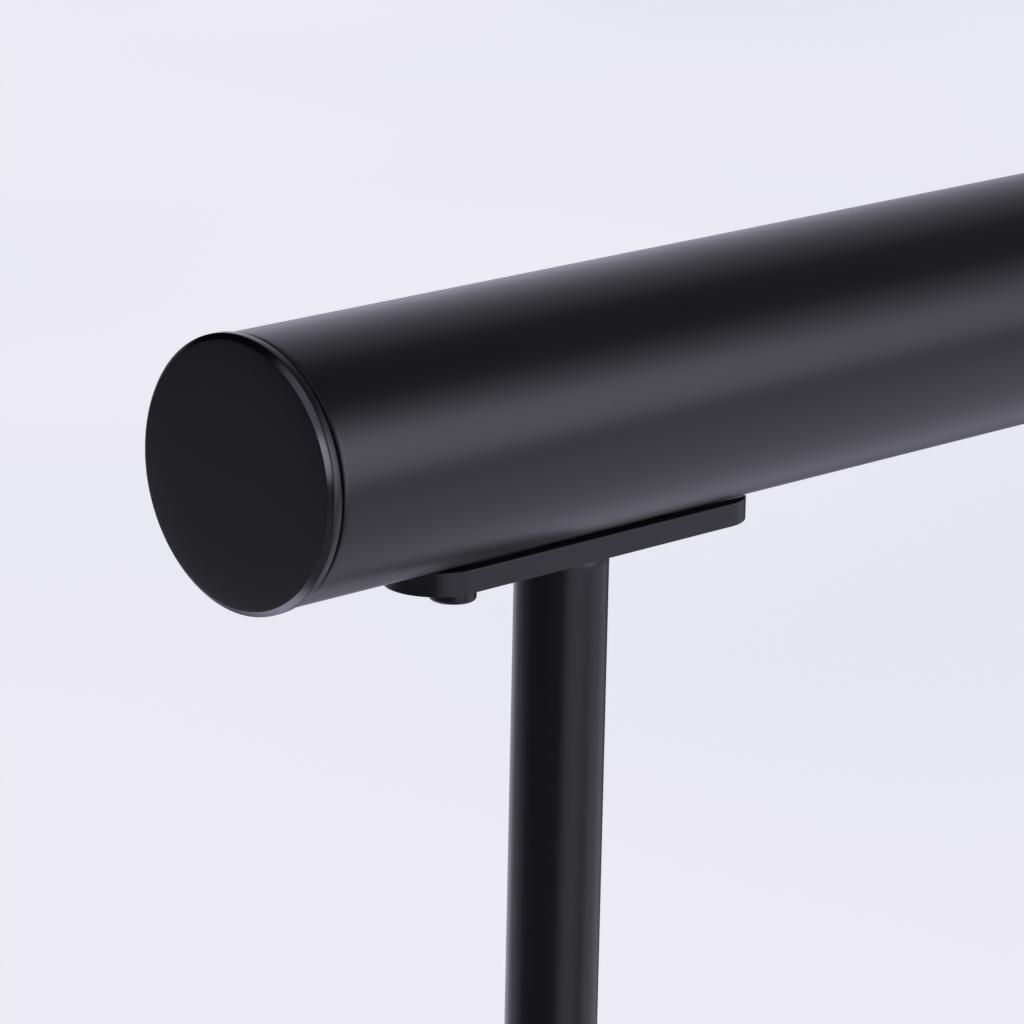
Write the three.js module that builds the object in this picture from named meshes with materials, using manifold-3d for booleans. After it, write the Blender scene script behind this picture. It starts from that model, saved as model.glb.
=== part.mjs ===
// A single point cane with a round T-handle and a twist-lock height adjuster, in millimetres.
// The origin is the middle of the rubber tip's tread. +Z is up along the shaft, and X runs along the
// handle, with its short end at -X.
import * as THREE from "three";
import { mergeVertices } from "three/addons/utils/BufferGeometryUtils.js";
import Module from "manifold-3d";

const wasm = await Module();
wasm.setup();

// ---------------------------------------------------------------- driving dimensions

const RUNNING_GAP = 0.08; // between two round pieces that slide or turn in each other
const SEAT_GAP = 0.05; // between two faces that rest on each other
const FIT_GAP = 0.1; // between a pin or a thread and its hole
const CUT_GAP = 0.3; // between a piece and the seat that its shape is cut into

const GRIP_SIDES = 40; // flats round a turned piece, by its size
const ROUND_SIDES = 24;
const SMALL_SIDES = 12;

const HANDLE_AXIS_Z = 863.3; // the grip tube's axis above the ground, at rest

const GRIP_RADIUS = 16.7;
const GRIP_WALL = 2;
const GRIP_BORE = GRIP_RADIUS - GRIP_WALL;
const FRONT_FACE_X = -54.8;
const REAR_FACE_X = 99.2;

const CAP_RADIUS = 17;
const CAP_FACE = { radius: 16.3, fall: 0.16 }; // the face falls away a little before its chamfer
const CAP_CHAMFER_DEPTH = 0.75; // from the cap's face to where the chamfer meets the rim
const CAP_RIM = 1.8; // from the cap's face to the back of its rim
const CAP_SHOULDER = 2.4; // from the cap's face to the step that meets the tube's end
const CAP_FACE_THICKNESS = 4;
const CAP_PLUG_RADIUS = 14.45;
const CAP_PLUG_BORE = 11.5;
const CAP_PLUG_END = 14;
const SEAL_SECTION = 0.75;
const SEAL_GROOVE = { radius: 13.1, start: 6, end: 8 };

const PLATE_FRONT_X = -28.4;
const PLATE_REAR_X = 30.7;
const PLATE_WIDTH = 12.8;
const PLATE_THICKNESS = 3;
const PLATE_BEVEL = 0.3;
const PLATE_TOP = -16.3; // from the grip tube's axis
const PLATE_BOTTOM = PLATE_TOP - PLATE_THICKNESS;
const FIXING_X = 18.9; // the screw is at -X and the locating pin at +X

const SCREW_RADIUS = 1.5;
const SCREW_HEAD_RADIUS = 3;
const SCREW_HEAD_HEIGHT = 2.9;
const SCREW_HEAD_EDGE = 0.5; // the rounding between the head's side and its face
const SCREW_SHANK = 10.6;
const RECESS = { span: 3, width: 0.7, depth: 1.2 };
const STUD_RADIUS = 3;
const STUD_BELOW_PLATE = 20;
const STUD_TOP = -5.8; // from the grip tube's axis
const PIN_RADIUS = 2;
const PIN_BOTTOM = -18.3;
const PIN_TOP = -10;
const NUT_BAR_LENGTH = 52;
const NUT_BAR_TOP = -8;

const SHAFT_RADIUS = 6;
const SHAFT_WALL = 1.5;
const SHAFT_BORE = SHAFT_RADIUS - SHAFT_WALL;
const SHAFT_TOP_Z = HANDLE_AXIS_Z + PLATE_BOTTOM - SEAT_GAP;
const SHAFT_FOOT_Z = 301;
const TOP_PLUG_LENGTH = 26;
const BUSH_HEAD = 9;
const BUSH_SPIGOT = 17;
const BUSH_BORE = 2;
const RIVET_RADIUS = 1;
const RIVET_Z = SHAFT_FOOT_Z + BUSH_SPIGOT / 2;

const LEG_RADIUS = 8;
const LEG_WALL = 1.5;
const LEG_BORE = LEG_RADIUS - LEG_WALL;
const LEG_FOOT_Z = 12.2;
const LEG_TOP_Z = 500;
const KEYWAY = { width: 2.4, radius: 7.2 };
const KEY = { width: 1.8, radius: 6.9 };
const KEY_ROOT = 5; // where the key and the keyway start, well inside the bush's head

const SLEEVE_RADIUS = 11.6;
const SLEEVE_SKIRT = 26;
const SLEEVE_SHOULDER_Z = LEG_TOP_Z + 2;
const SLEEVE_NECK_RADIUS = 9.2;
const SLEEVE_NECK_TOP_Z = 515;
const SLEEVE_CONE = { narrow: 7.4, wide: 8.3 }; // radii of the cone that closes the collet
const COLLET_BOTTOM_Z = 504;
const COLLET_TOP_Z = 519;
const COLLET_OUTSIDE = { foot: 7.2, body: 8, shoulder: 8.7, top: 7.4 }; // radii, from the bottom up
const COLLET_SLITS = 3;
const SLIT_WIDTH = 1;
const COLLAR_RADIUS = 12.6;
const COLLAR_BOTTOM_Z = 502.4;
const COLLAR_TOP_Z = 528;
const COLLAR_TAPER = { start: 5, radius: 9.4, topRadius: 8.4 }; // start is measured down from the top
const COLLAR_FLUTES = 16;
const FLUTE_RADIUS = 1.6;
const WIPER_SECTION = 0.7;
const WIPER_Z = 524;

const FERRULE_BASE_RADIUS = 17;
const FERRULE_NECK_RADIUS = 11.2;
const FERRULE_TOP_Z = 42;
const FERRULE_FLOOR_Z = 9;
const TREAD_DEPTH = 1.2;
const DISC_THICKNESS = 1.5;

// ---------------------------------------------------------------- materials

const BLACK_METAL = { color: 0x17171a, roughness: 0.4, metalness: 0.6 };
const BLACK_PLASTIC = { color: 0x141416, roughness: 0.45, metalness: 0 };
const RUBBER = { color: 0x101011, roughness: 0.85, metalness: 0 };
const NYLON = { color: 0x8b8b88, roughness: 0.6, metalness: 0 };
const STEEL = { color: 0xa4a6aa, roughness: 0.35, metalness: 1 };

// ---------------------------------------------------------------- shape helpers

/** A solid of revolution about Z. The profile is a list of [radius, z], counterclockwise. */
function turned(profile, sides = ROUND_SIDES) {
  const points = profile.map(([radius, z]) => new THREE.Vector2(radius, z));
  return new THREE.LatheGeometry(points, sides).rotateX(Math.PI / 2);
}

/** A tube about Z, with its outer edges broken by a small bevel. */
function pipe(inner, outer, bottom, top, bevel, sides) {
  const profile = [
    [inner, bottom],
    [outer - bevel, bottom],
    [outer, bottom + bevel],
    [outer, top - bevel],
    [outer - bevel, top],
    [inner, top],
    [inner, bottom],
  ];
  return turned(profile, sides);
}

/** A plain rod about Z, with bevelled ends. */
function rod(radius, bottom, top, bevel, sides = SMALL_SIDES) {
  const profile = [
    [0, bottom],
    [radius - bevel, bottom],
    [radius, bottom + bevel],
    [radius, top - bevel],
    [radius - bevel, top],
    [0, top],
  ];
  return turned(profile, sides);
}

/** The points of a round stretch of a profile, from angle a to angle b in degrees. */
function arc([centreR, centreZ], radius, a, b, steps) {
  return Array.from({ length: steps + 1 }, (_, i) => {
    const angle = THREE.MathUtils.degToRad(a + ((b - a) * i) / steps);
    return [centreR + radius * Math.cos(angle), centreZ + radius * Math.sin(angle)];
  });
}

/** A closed ring of round section about Z. */
function ring(centreR, centreZ, section, sides) {
  return turned(arc([centreR, centreZ], section, 0, 360, 6), sides);
}

function toSolid(geometry) {
  const bare = geometry.clone();
  bare.deleteAttribute("normal");
  bare.deleteAttribute("uv");
  const merged = mergeVertices(bare, 1e-4);
  return new wasm.Manifold(
    new wasm.Mesh({
      numProp: 3,
      vertProperties: merged.attributes.position.array,
      triVerts: new Uint32Array(merged.index.array),
    }),
  );
}

function toGeometry(solid) {
  const mesh = solid.getMesh();
  const geometry = new THREE.BufferGeometry();
  geometry.setAttribute("position", new THREE.BufferAttribute(mesh.vertProperties, 3));
  geometry.setIndex(new THREE.BufferAttribute(mesh.triVerts, 1));
  geometry.computeVertexNormals();
  return geometry;
}

function cut(body, ...tools) {
  return toGeometry(tools.reduce((left, tool) => left.subtract(toSolid(tool)), toSolid(body)));
}

function join(body, other) {
  return toGeometry(toSolid(body).add(toSolid(other)));
}

/** A vertical drill, for cutting a round hole at (x, 0). */
function drill(radius, bottom, top, x = 0) {
  return rod(radius, bottom, top, 0).translate(x, 0, 0);
}

/** Copies of one cutting tool, spread evenly about Z. */
function spread(count, makeTool) {
  return Array.from({ length: count }, (_, i) => makeTool(i).rotateZ((2 * Math.PI * i) / count));
}

function piece(name, material, geometry) {
  const mesh = new THREE.Mesh(geometry, new THREE.MeshStandardMaterial(material));
  mesh.name = name;
  return mesh;
}

// ---------------------------------------------------------------- handle, about the grip tube's axis

function gripTube() {
  const front = FRONT_FACE_X + CAP_SHOULDER + SEAT_GAP;
  const rear = REAR_FACE_X - CAP_SHOULDER - SEAT_GAP;
  const tube = pipe(GRIP_BORE, GRIP_RADIUS, front, rear, 0.2, GRIP_SIDES).rotateY(Math.PI / 2);
  const holes = [
    drill(STUD_RADIUS + 2 * FIT_GAP, PLATE_BOTTOM, 0),
    drill(SCREW_RADIUS + 2 * FIT_GAP, PLATE_BOTTOM, 0, -FIXING_X),
    drill(PIN_RADIUS + FIT_GAP, PLATE_BOTTOM, 0, FIXING_X),
  ];
  return piece("grip_tube", BLACK_METAL, cut(tube, ...holes));
}

/** An end cap: a crowned face, a chamfer, a rim proud of the tube, and a hollow plug with an O-ring groove. */
function endCap(name) {
  const spigot = GRIP_RADIUS - 0.8;
  const profile = [
    [0, 0],
    [0.85 * CAP_RADIUS, 0],
    [CAP_FACE.radius, CAP_FACE.fall],
    [CAP_RADIUS, CAP_CHAMFER_DEPTH],
    [CAP_RADIUS, CAP_RIM],
    [spigot, CAP_RIM],
    [spigot, CAP_SHOULDER],
    [CAP_PLUG_RADIUS, CAP_SHOULDER],
    [CAP_PLUG_RADIUS, SEAL_GROOVE.start],
    [SEAL_GROOVE.radius, SEAL_GROOVE.start],
    [SEAL_GROOVE.radius, SEAL_GROOVE.end],
    [CAP_PLUG_RADIUS, SEAL_GROOVE.end],
    [CAP_PLUG_RADIUS, CAP_PLUG_END - 0.8],
    [CAP_PLUG_RADIUS - 0.8, CAP_PLUG_END],
    [CAP_PLUG_BORE, CAP_PLUG_END],
    [CAP_PLUG_BORE, CAP_FACE_THICKNESS],
    [0, CAP_FACE_THICKNESS],
  ];
  return piece(name, BLACK_METAL, turned(profile, GRIP_SIDES));
}

function capSeal(name) {
  const centreR = SEAL_GROOVE.radius + SEAL_SECTION + SEAT_GAP;
  const centreZ = (SEAL_GROOVE.start + SEAL_GROOVE.end) / 2;
  return piece(name, RUBBER, ring(centreR, centreZ, SEAL_SECTION, GRIP_SIDES));
}

/** A cap and its seal at one end of the grip tube, turned so that the plug faces inwards. */
function cappedEnd(side, faceX, turn) {
  const end = new THREE.Group();
  end.add(endCap(`${side}_cap`), capSeal(`${side}_cap_seal`));
  end.position.x = faceX;
  end.rotation.y = turn;
  return end;
}

/** The bar inside the grip tube that the screw and the stud pull on. Its section is a circle's segment. */
function nutBar() {
  const radius = GRIP_BORE - CUT_GAP;
  const half = Math.acos(-NUT_BAR_TOP / radius);
  const section = new THREE.Shape();
  section.absarc(0, 0, radius, -Math.PI / 2 - half, -Math.PI / 2 + half, false);
  section.closePath();
  const bar = new THREE.ExtrudeGeometry(section, {
    depth: NUT_BAR_LENGTH,
    bevelEnabled: false,
    curveSegments: SMALL_SIDES,
  });
  bar.translate(0, 0, -NUT_BAR_LENGTH / 2).rotateX(Math.PI / 2).rotateZ(Math.PI / 2);
  const holes = [
    drill(STUD_RADIUS + FIT_GAP, -GRIP_BORE, 0),
    drill(SCREW_RADIUS + FIT_GAP, -GRIP_BORE, 0, -FIXING_X),
    drill(PIN_RADIUS + FIT_GAP, -GRIP_BORE, 0, FIXING_X),
  ];
  return piece("nut_bar", STEEL, cut(bar, ...holes));
}

/** The flat bar with round ends under the grip, with a shallow seat for the tube along its top. */
function saddlePlate() {
  const end = PLATE_WIDTH / 2;
  const outline = new THREE.Shape();
  outline.absarc(PLATE_REAR_X - end, 0, end, -Math.PI / 2, Math.PI / 2, false);
  outline.absarc(PLATE_FRONT_X + end, 0, end, Math.PI / 2, (3 * Math.PI) / 2, false);
  outline.closePath();
  const bar = new THREE.ExtrudeGeometry(outline, {
    depth: PLATE_THICKNESS - 2 * PLATE_BEVEL,
    bevelThickness: PLATE_BEVEL,
    bevelSize: PLATE_BEVEL,
    bevelOffset: -PLATE_BEVEL,
    bevelSegments: 1,
    curveSegments: SMALL_SIDES,
  });
  bar.translate(0, 0, PLATE_BOTTOM + PLATE_BEVEL);
  const seat = rod(GRIP_RADIUS + CUT_GAP, 2 * PLATE_FRONT_X, 2 * PLATE_REAR_X, 0, GRIP_SIDES);
  const holes = [
    drill(STUD_RADIUS + 2 * FIT_GAP, PLATE_BOTTOM - 1, 0),
    drill(SCREW_RADIUS + 2 * FIT_GAP, PLATE_BOTTOM - 1, 0, -FIXING_X),
    drill(PIN_RADIUS + FIT_GAP, PIN_BOTTOM - SEAT_GAP, 0, FIXING_X),
  ];
  return piece("saddle_plate", BLACK_METAL, cut(bar, seat.rotateY(Math.PI / 2), ...holes));
}

/** The round-headed screw, head down, with a cross recess in its slightly crowned face. */
function saddleScrew() {
  const face = -SCREW_HEAD_HEIGHT;
  const crown = 0.2;
  const edge = [SCREW_HEAD_RADIUS - SCREW_HEAD_EDGE, face + crown + SCREW_HEAD_EDGE];
  const screw = turned([
    [0, face],
    [0.5 * SCREW_HEAD_RADIUS, face + 0.25 * crown],
    ...arc(edge, SCREW_HEAD_EDGE, -90, 0, 3),
    [SCREW_HEAD_RADIUS, -SEAT_GAP],
    [SCREW_RADIUS, -SEAT_GAP],
    [SCREW_RADIUS, SCREW_SHANK - 0.5],
    [SCREW_RADIUS - 0.5, SCREW_SHANK],
    [0, SCREW_SHANK],
  ]);
  const slots = [0, Math.PI / 2].map((turn) =>
    new THREE.BoxGeometry(RECESS.span, RECESS.width, 2 * RECESS.depth).rotateZ(turn).translate(0, 0, face),
  );
  const mesh = piece("saddle_screw", BLACK_METAL, cut(screw, ...slots));
  mesh.position.set(-FIXING_X, 0, PLATE_BOTTOM);
  return mesh;
}

/** The flush pin that stops the plate turning under the grip. */
function locatingPin() {
  const mesh = piece("locating_pin", STEEL, rod(PIN_RADIUS, PIN_BOTTOM, PIN_TOP, 0.3));
  mesh.position.x = FIXING_X;
  return mesh;
}

/** The stud that joins the shaft's plug, the plate and the nut bar. */
function shaftStud() {
  return piece("shaft_stud", STEEL, rod(STUD_RADIUS, PLATE_BOTTOM - STUD_BELOW_PLATE, STUD_TOP, 0.5));
}

function handle() {
  const group = new THREE.Group();
  group.add(
    gripTube(),
    cappedEnd("front", FRONT_FACE_X, Math.PI / 2),
    cappedEnd("rear", REAR_FACE_X, -Math.PI / 2),
    nutBar(),
    saddlePlate(),
    saddleScrew(),
    locatingPin(),
    shaftStud(),
  );
  group.position.z = HANDLE_AXIS_Z;
  return group;
}

// ---------------------------------------------------------------- upper shaft

/** A cross hole along X for the rivet. */
function rivetHole() {
  return rod(RIVET_RADIUS + FIT_GAP, -LEG_RADIUS, LEG_RADIUS, 0)
    .rotateY(Math.PI / 2)
    .translate(0, 0, RIVET_Z);
}

function upperShaft() {
  const tube = pipe(SHAFT_BORE, SHAFT_RADIUS, SHAFT_FOOT_Z, SHAFT_TOP_Z, 0.2);
  return piece("upper_shaft", BLACK_METAL, cut(tube, rivetHole()));
}

/** The threaded plug that is swaged into the top of the shaft. */
function shaftTopPlug() {
  const bottom = SHAFT_TOP_Z - TOP_PLUG_LENGTH;
  const plug = pipe(STUD_RADIUS + FIT_GAP, SHAFT_BORE - FIT_GAP, bottom, SHAFT_TOP_Z - 0.3, 0.4);
  return piece("shaft_top_plug", STEEL, plug);
}

/** The bush at the shaft's foot: a head that slides in the leg, its key, and a spigot in the shaft. */
function guideBush() {
  const bottom = SHAFT_FOOT_Z - BUSH_HEAD;
  const step = SHAFT_FOOT_Z - SEAT_GAP;
  const top = SHAFT_FOOT_Z + BUSH_SPIGOT;
  const head = LEG_BORE - RUNNING_GAP;
  const bush = turned([
    [BUSH_BORE, bottom],
    [head - 0.5, bottom],
    [head, bottom + 0.5],
    [head, step],
    [SHAFT_BORE - FIT_GAP, step],
    [SHAFT_BORE - FIT_GAP, top],
    [BUSH_BORE, top],
    [BUSH_BORE, bottom],
  ]);
  const key = new THREE.BoxGeometry(KEY.width, KEY.radius - KEY_ROOT, BUSH_HEAD - 2);
  key.translate(0, (KEY.radius + KEY_ROOT) / 2, bottom + BUSH_HEAD / 2);
  return piece("guide_bush", NYLON, cut(join(bush, key), rivetHole()));
}

function bushRivet() {
  const half = SHAFT_RADIUS - 0.15;
  const mesh = piece("bush_rivet", STEEL, rod(RIVET_RADIUS, -half, half, 0.2));
  mesh.rotation.y = Math.PI / 2;
  mesh.position.z = RIVET_Z;
  return mesh;
}

// ---------------------------------------------------------------- lower leg

/** The lower tube, with a keyway along its bore that stops the shaft turning. */
function lowerTube() {
  const tube = pipe(LEG_BORE, LEG_RADIUS, LEG_FOOT_Z, LEG_TOP_Z, 0.2);
  const keyway = new THREE.BoxGeometry(KEYWAY.width, KEYWAY.radius - KEY_ROOT, 2 * LEG_TOP_Z);
  keyway.translate(0, (KEYWAY.radius + KEY_ROOT) / 2, LEG_TOP_Z / 2);
  return piece("lower_tube", BLACK_METAL, cut(tube, keyway));
}

/** The sleeve on the lower tube's top: a skirt round the tube, and a neck with a cone for the collet. */
function colletSleeve() {
  const bottom = LEG_TOP_Z - SLEEVE_SKIRT;
  const seatZ = LEG_TOP_Z + SEAT_GAP;
  const bore = LEG_RADIUS + SEAT_GAP;
  const sleeve = turned([
    [bore, bottom],
    [bore + 1.5, bottom],
    [SLEEVE_RADIUS, bottom + 6],
    [SLEEVE_RADIUS, SLEEVE_SHOULDER_Z - 0.6],
    [SLEEVE_RADIUS - 0.6, SLEEVE_SHOULDER_Z],
    [SLEEVE_NECK_RADIUS, SLEEVE_SHOULDER_Z],
    [SLEEVE_NECK_RADIUS, SLEEVE_NECK_TOP_Z - 0.5],
    [SLEEVE_NECK_RADIUS - 0.5, SLEEVE_NECK_TOP_Z],
    [SLEEVE_CONE.wide, SLEEVE_NECK_TOP_Z],
    [SLEEVE_CONE.narrow, SLEEVE_SHOULDER_Z + 1],
    [LEG_BORE, SLEEVE_SHOULDER_Z],
    [LEG_BORE, seatZ],
    [bore, seatZ],
    [bore, bottom],
  ]);
  return piece("collet_sleeve", BLACK_PLASTIC, sleeve);
}

/** The ring that closes on the shaft: one slit right through it, and two shorter ones from its top. */
function collet() {
  const bore = SHAFT_RADIUS + RUNNING_GAP;
  const blank = turned([
    [bore, COLLET_BOTTOM_Z],
    [COLLET_OUTSIDE.foot, COLLET_BOTTOM_Z],
    [COLLET_OUTSIDE.body, SLEEVE_NECK_TOP_Z],
    [COLLET_OUTSIDE.shoulder, SLEEVE_NECK_TOP_Z + 0.6],
    [COLLET_OUTSIDE.shoulder, SLEEVE_NECK_TOP_Z + 1.6],
    [COLLET_OUTSIDE.top, COLLET_TOP_Z],
    [bore, COLLET_TOP_Z],
    [bore, COLLET_BOTTOM_Z],
  ]);
  const height = COLLET_TOP_Z - COLLET_BOTTOM_Z;
  const slits = spread(COLLET_SLITS, (i) => {
    const lift = i === 0 ? 0 : height / 3;
    const slit = new THREE.BoxGeometry(COLLAR_RADIUS, SLIT_WIDTH, height + 2);
    return slit.translate(COLLAR_RADIUS / 2, 0, COLLET_BOTTOM_Z + height / 2 + lift);
  });
  return piece("collet", NYLON, cut(blank, ...slits));
}

/** The fluted collar that is screwed down over the collet to lock the height. */
function lockCollar() {
  const neckBore = SLEEVE_NECK_RADIUS + FIT_GAP;
  const wiperGroove = SHAFT_RADIUS + 2 * WIPER_SECTION + 0.2;
  const lip = SHAFT_RADIUS + 0.3;
  const blank = turned(
    [
      [neckBore, COLLAR_BOTTOM_Z],
      [COLLAR_RADIUS - 0.8, COLLAR_BOTTOM_Z],
      [COLLAR_RADIUS, COLLAR_BOTTOM_Z + 0.8],
      [COLLAR_RADIUS, COLLAR_TOP_Z - COLLAR_TAPER.start],
      [COLLAR_TAPER.radius, COLLAR_TOP_Z - 0.6],
      [COLLAR_TAPER.topRadius, COLLAR_TOP_Z],
      [lip, COLLAR_TOP_Z],
      [lip, WIPER_Z + 1],
      [wiperGroove, WIPER_Z + 1],
      [wiperGroove, WIPER_Z - 1],
      [lip, WIPER_Z - 1],
      [lip, COLLET_TOP_Z + 1.6],
      [neckBore, SLEEVE_NECK_TOP_Z + 2.2],
      [neckBore, COLLAR_BOTTOM_Z],
    ],
    GRIP_SIDES,
  );
  const flutes = spread(COLLAR_FLUTES, () => {
    const flute = rod(FLUTE_RADIUS, COLLAR_BOTTOM_Z + 3, COLLAR_TOP_Z - 7, 1.2, 8);
    return flute.translate(COLLAR_RADIUS + 0.9, 0, 0);
  });
  return piece("lock_collar", BLACK_PLASTIC, cut(blank, ...flutes));
}

/** The wiper ring in the collar's bore that keeps grit out of the collet. */
function collarORing() {
  const centreR = SHAFT_RADIUS + WIPER_SECTION + RUNNING_GAP;
  return piece("collar_o_ring", RUBBER, ring(centreR, WIPER_Z, WIPER_SECTION, ROUND_SIDES));
}

/** The plug in the lower tube's foot: a flange under the tube and a hollow body inside it. */
function tubeEndPlug() {
  const bottom = FERRULE_FLOOR_Z + DISC_THICKNESS + 2 * SEAT_GAP;
  const flangeTop = LEG_FOOT_Z - SEAT_GAP;
  const body = LEG_BORE - RUNNING_GAP;
  const hollow = 4.6;
  const plug = turned([
    [0, bottom],
    [LEG_RADIUS - 0.3, bottom],
    [LEG_RADIUS, bottom + 0.3],
    [LEG_RADIUS, flangeTop],
    [body, flangeTop],
    [body, flangeTop + 16],
    [hollow, flangeTop + 16],
    [hollow, flangeTop + 1],
    [0, flangeTop + 1],
  ]);
  return piece("tube_end_plug", NYLON, plug);
}

/** The steel disc that keeps the tube from punching through the rubber. */
function ferruleDisc() {
  const bottom = FERRULE_FLOOR_Z + SEAT_GAP;
  const disc = rod(LEG_RADIUS, bottom, bottom + DISC_THICKNESS, 0.2, ROUND_SIDES);
  return piece("ferrule_disc", STEEL, disc);
}

/** One ring-shaped groove of the tread, as a stretch of the ferrule's profile. */
function treadGroove(inner, outer) {
  return [
    [inner, 0],
    [inner + 0.2, TREAD_DEPTH],
    [outer - 0.2, TREAD_DEPTH],
    [outer, 0],
  ];
}

/** The rubber tip: a ringed tread, a flared foot, a concave waist and a band round its top. */
function ferrule() {
  const bore = LEG_RADIUS + FIT_GAP;
  const band = FERRULE_NECK_RADIUS + 0.9;
  const tip = turned([
    [0, 0],
    ...treadGroove(5, 6.4),
    ...treadGroove(8.6, 10),
    ...treadGroove(12.2, 13.6),
    ...arc([FERRULE_BASE_RADIUS - 1.2, 1.2], 1.2, -90, 0, 2),
    [FERRULE_BASE_RADIUS, 6],
    [FERRULE_BASE_RADIUS - 0.9, 7.4],
    ...arc([FERRULE_NECK_RADIUS + 9, 17.5], 9, 228, 180, 4),
    [FERRULE_NECK_RADIUS, FERRULE_TOP_Z - 7],
    [band, FERRULE_TOP_Z - 5.6],
    [band, FERRULE_TOP_Z - 1],
    [band - 1, FERRULE_TOP_Z],
    [bore, FERRULE_TOP_Z],
    [bore, FERRULE_FLOOR_Z],
    [0, FERRULE_FLOOR_Z],
  ]);
  return piece("ferrule", RUBBER, tip);
}

// ---------------------------------------------------------------- the cane

const cane = new THREE.Group();
cane.add(
  handle(),
  upperShaft(),
  shaftTopPlug(),
  guideBush(),
  bushRivet(),
  lowerTube(),
  colletSleeve(),
  collet(),
  lockCollar(),
  collarORing(),
  tubeEndPlug(),
  ferruleDisc(),
  ferrule(),
);

export default cane;
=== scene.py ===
"""The looks of the single point cane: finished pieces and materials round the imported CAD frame.

The frame is in metres, with Z up along the shaft and X along the handle. Shapes are drawn in millimetres
and scaled by MM.
"""

import math

import bmesh
import bpy
from mathutils import Matrix, Vector


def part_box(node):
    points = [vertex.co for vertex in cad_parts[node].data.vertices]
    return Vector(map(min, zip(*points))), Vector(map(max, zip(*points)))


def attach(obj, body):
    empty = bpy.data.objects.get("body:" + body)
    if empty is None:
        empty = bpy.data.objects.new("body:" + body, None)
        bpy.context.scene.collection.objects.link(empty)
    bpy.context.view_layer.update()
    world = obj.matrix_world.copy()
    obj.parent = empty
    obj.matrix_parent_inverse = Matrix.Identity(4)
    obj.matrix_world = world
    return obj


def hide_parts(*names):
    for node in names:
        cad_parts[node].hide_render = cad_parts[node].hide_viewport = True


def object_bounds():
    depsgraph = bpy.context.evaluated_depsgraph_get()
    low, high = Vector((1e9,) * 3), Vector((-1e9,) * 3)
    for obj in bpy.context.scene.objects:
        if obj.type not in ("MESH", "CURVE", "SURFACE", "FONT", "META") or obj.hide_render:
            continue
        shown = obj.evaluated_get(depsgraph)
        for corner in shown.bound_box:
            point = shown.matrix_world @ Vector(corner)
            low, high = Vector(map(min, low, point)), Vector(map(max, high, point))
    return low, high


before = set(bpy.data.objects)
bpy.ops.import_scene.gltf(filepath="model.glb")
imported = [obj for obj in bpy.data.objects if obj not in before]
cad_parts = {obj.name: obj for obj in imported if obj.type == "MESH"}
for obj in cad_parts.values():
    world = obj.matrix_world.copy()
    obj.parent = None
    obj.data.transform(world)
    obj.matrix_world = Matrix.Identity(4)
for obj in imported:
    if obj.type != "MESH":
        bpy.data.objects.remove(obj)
cad_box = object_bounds()

MM = 0.001
FINE = 192  # sides of the wide round pieces
ROUND = 96  # sides of the slim round pieces
SMALL = 48  # sides of pins and screws
SMOOTH_BELOW = math.radians(32)  # edges flatter than this are shaded smooth


# ------------------------------------------------------------------ places taken from the frame


def reach(node):
    """The lowest and highest corners of a CAD node."""
    low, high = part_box(node)
    return Vector(low), Vector(high)


def middle(node):
    low, high = reach(node)
    return (low + high) / 2


grip_low, grip_high = reach("grip_tube")
GRIP_R = (grip_high.z - grip_low.z) / 2
AXIS_Z = middle("grip_tube").z


# ------------------------------------------------------------------ mesh helpers


def new_piece(name, bm, material, body, node):
    """Turns a bmesh into a smooth-shaded piece that rides on a body and stands for a CAD node."""
    mesh = bpy.data.meshes.new(name)
    bmesh.ops.recalc_face_normals(bm, faces=bm.faces)
    bm.to_mesh(mesh)
    bm.free()
    mesh.polygons.foreach_set("use_smooth", [True] * len(mesh.polygons))
    mesh.set_sharp_from_angle(angle=SMOOTH_BELOW)
    piece = bpy.data.objects.new(name, mesh)
    bpy.context.scene.collection.objects.link(piece)
    mesh.materials.append(material)
    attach(piece, body)
    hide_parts(node)
    return piece


def rounded(profile, steps=3):
    """A profile of (r, z) or (r, z, fillet) points in mm, with an arc at each point that has a fillet."""
    points = []
    count = len(profile)
    for i, corner in enumerate(profile):
        if len(corner) == 2:
            points.append(Vector(corner))
            continue
        here = Vector(corner[:2])
        before = (Vector(profile[i - 1][:2]) - here).normalized()
        after = (Vector(profile[(i + 1) % count][:2]) - here).normalized()
        half = before.angle(after) / 2
        run = corner[2] / math.tan(half)
        start = here + before * run
        end = here + after * run
        centre = here + (before + after).normalized() * (corner[2] / math.sin(half))
        first = (start - centre).to_3d()
        last = (end - centre).to_3d()
        turn = first.rotation_difference(last)
        for step in range(steps + 1):
            part = first.copy()
            part.rotate(Matrix.Rotation(turn.angle * step / steps, 3, turn.axis))
            points.append(centre + part.to_2d())
    return points


def spin(profile, sides, on_axis=False, radius_at=None):
    """A closed turned body about Z, from a profile in mm.

    on_axis ends the profile on the axis instead of closing it on itself.
    radius_at(angle, r, z) may push a point in or out, as for flutes and threads.
    """
    bm = bmesh.new()
    rings = []
    for point in profile:
        r, z = point[0], point[1]
        if on_axis and r < 1e-6:
            rings.append([bm.verts.new((0, 0, z * MM))])
            continue
        ring = []
        for side in range(sides):
            angle = 2 * math.pi * side / sides
            out = (radius_at(angle, r, z) if radius_at else r) * MM
            ring.append(bm.verts.new((out * math.cos(angle), out * math.sin(angle), z * MM)))
        rings.append(ring)
    pairs = list(zip(rings, rings[1:]))
    if not on_axis:
        pairs.append((rings[-1], rings[0]))
    for low, high in pairs:
        for side in range(sides):
            after = (side + 1) % sides
            if len(low) == 1:
                bm.faces.new((low[0], high[after], high[side]))
            elif len(high) == 1:
                bm.faces.new((low[side], low[after], high[0]))
            else:
                bm.faces.new((low[side], low[after], high[after], high[side]))
    return bm


def place(bm, matrix):
    bmesh.ops.transform(bm, matrix=matrix, verts=bm.verts)
    return bm


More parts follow.
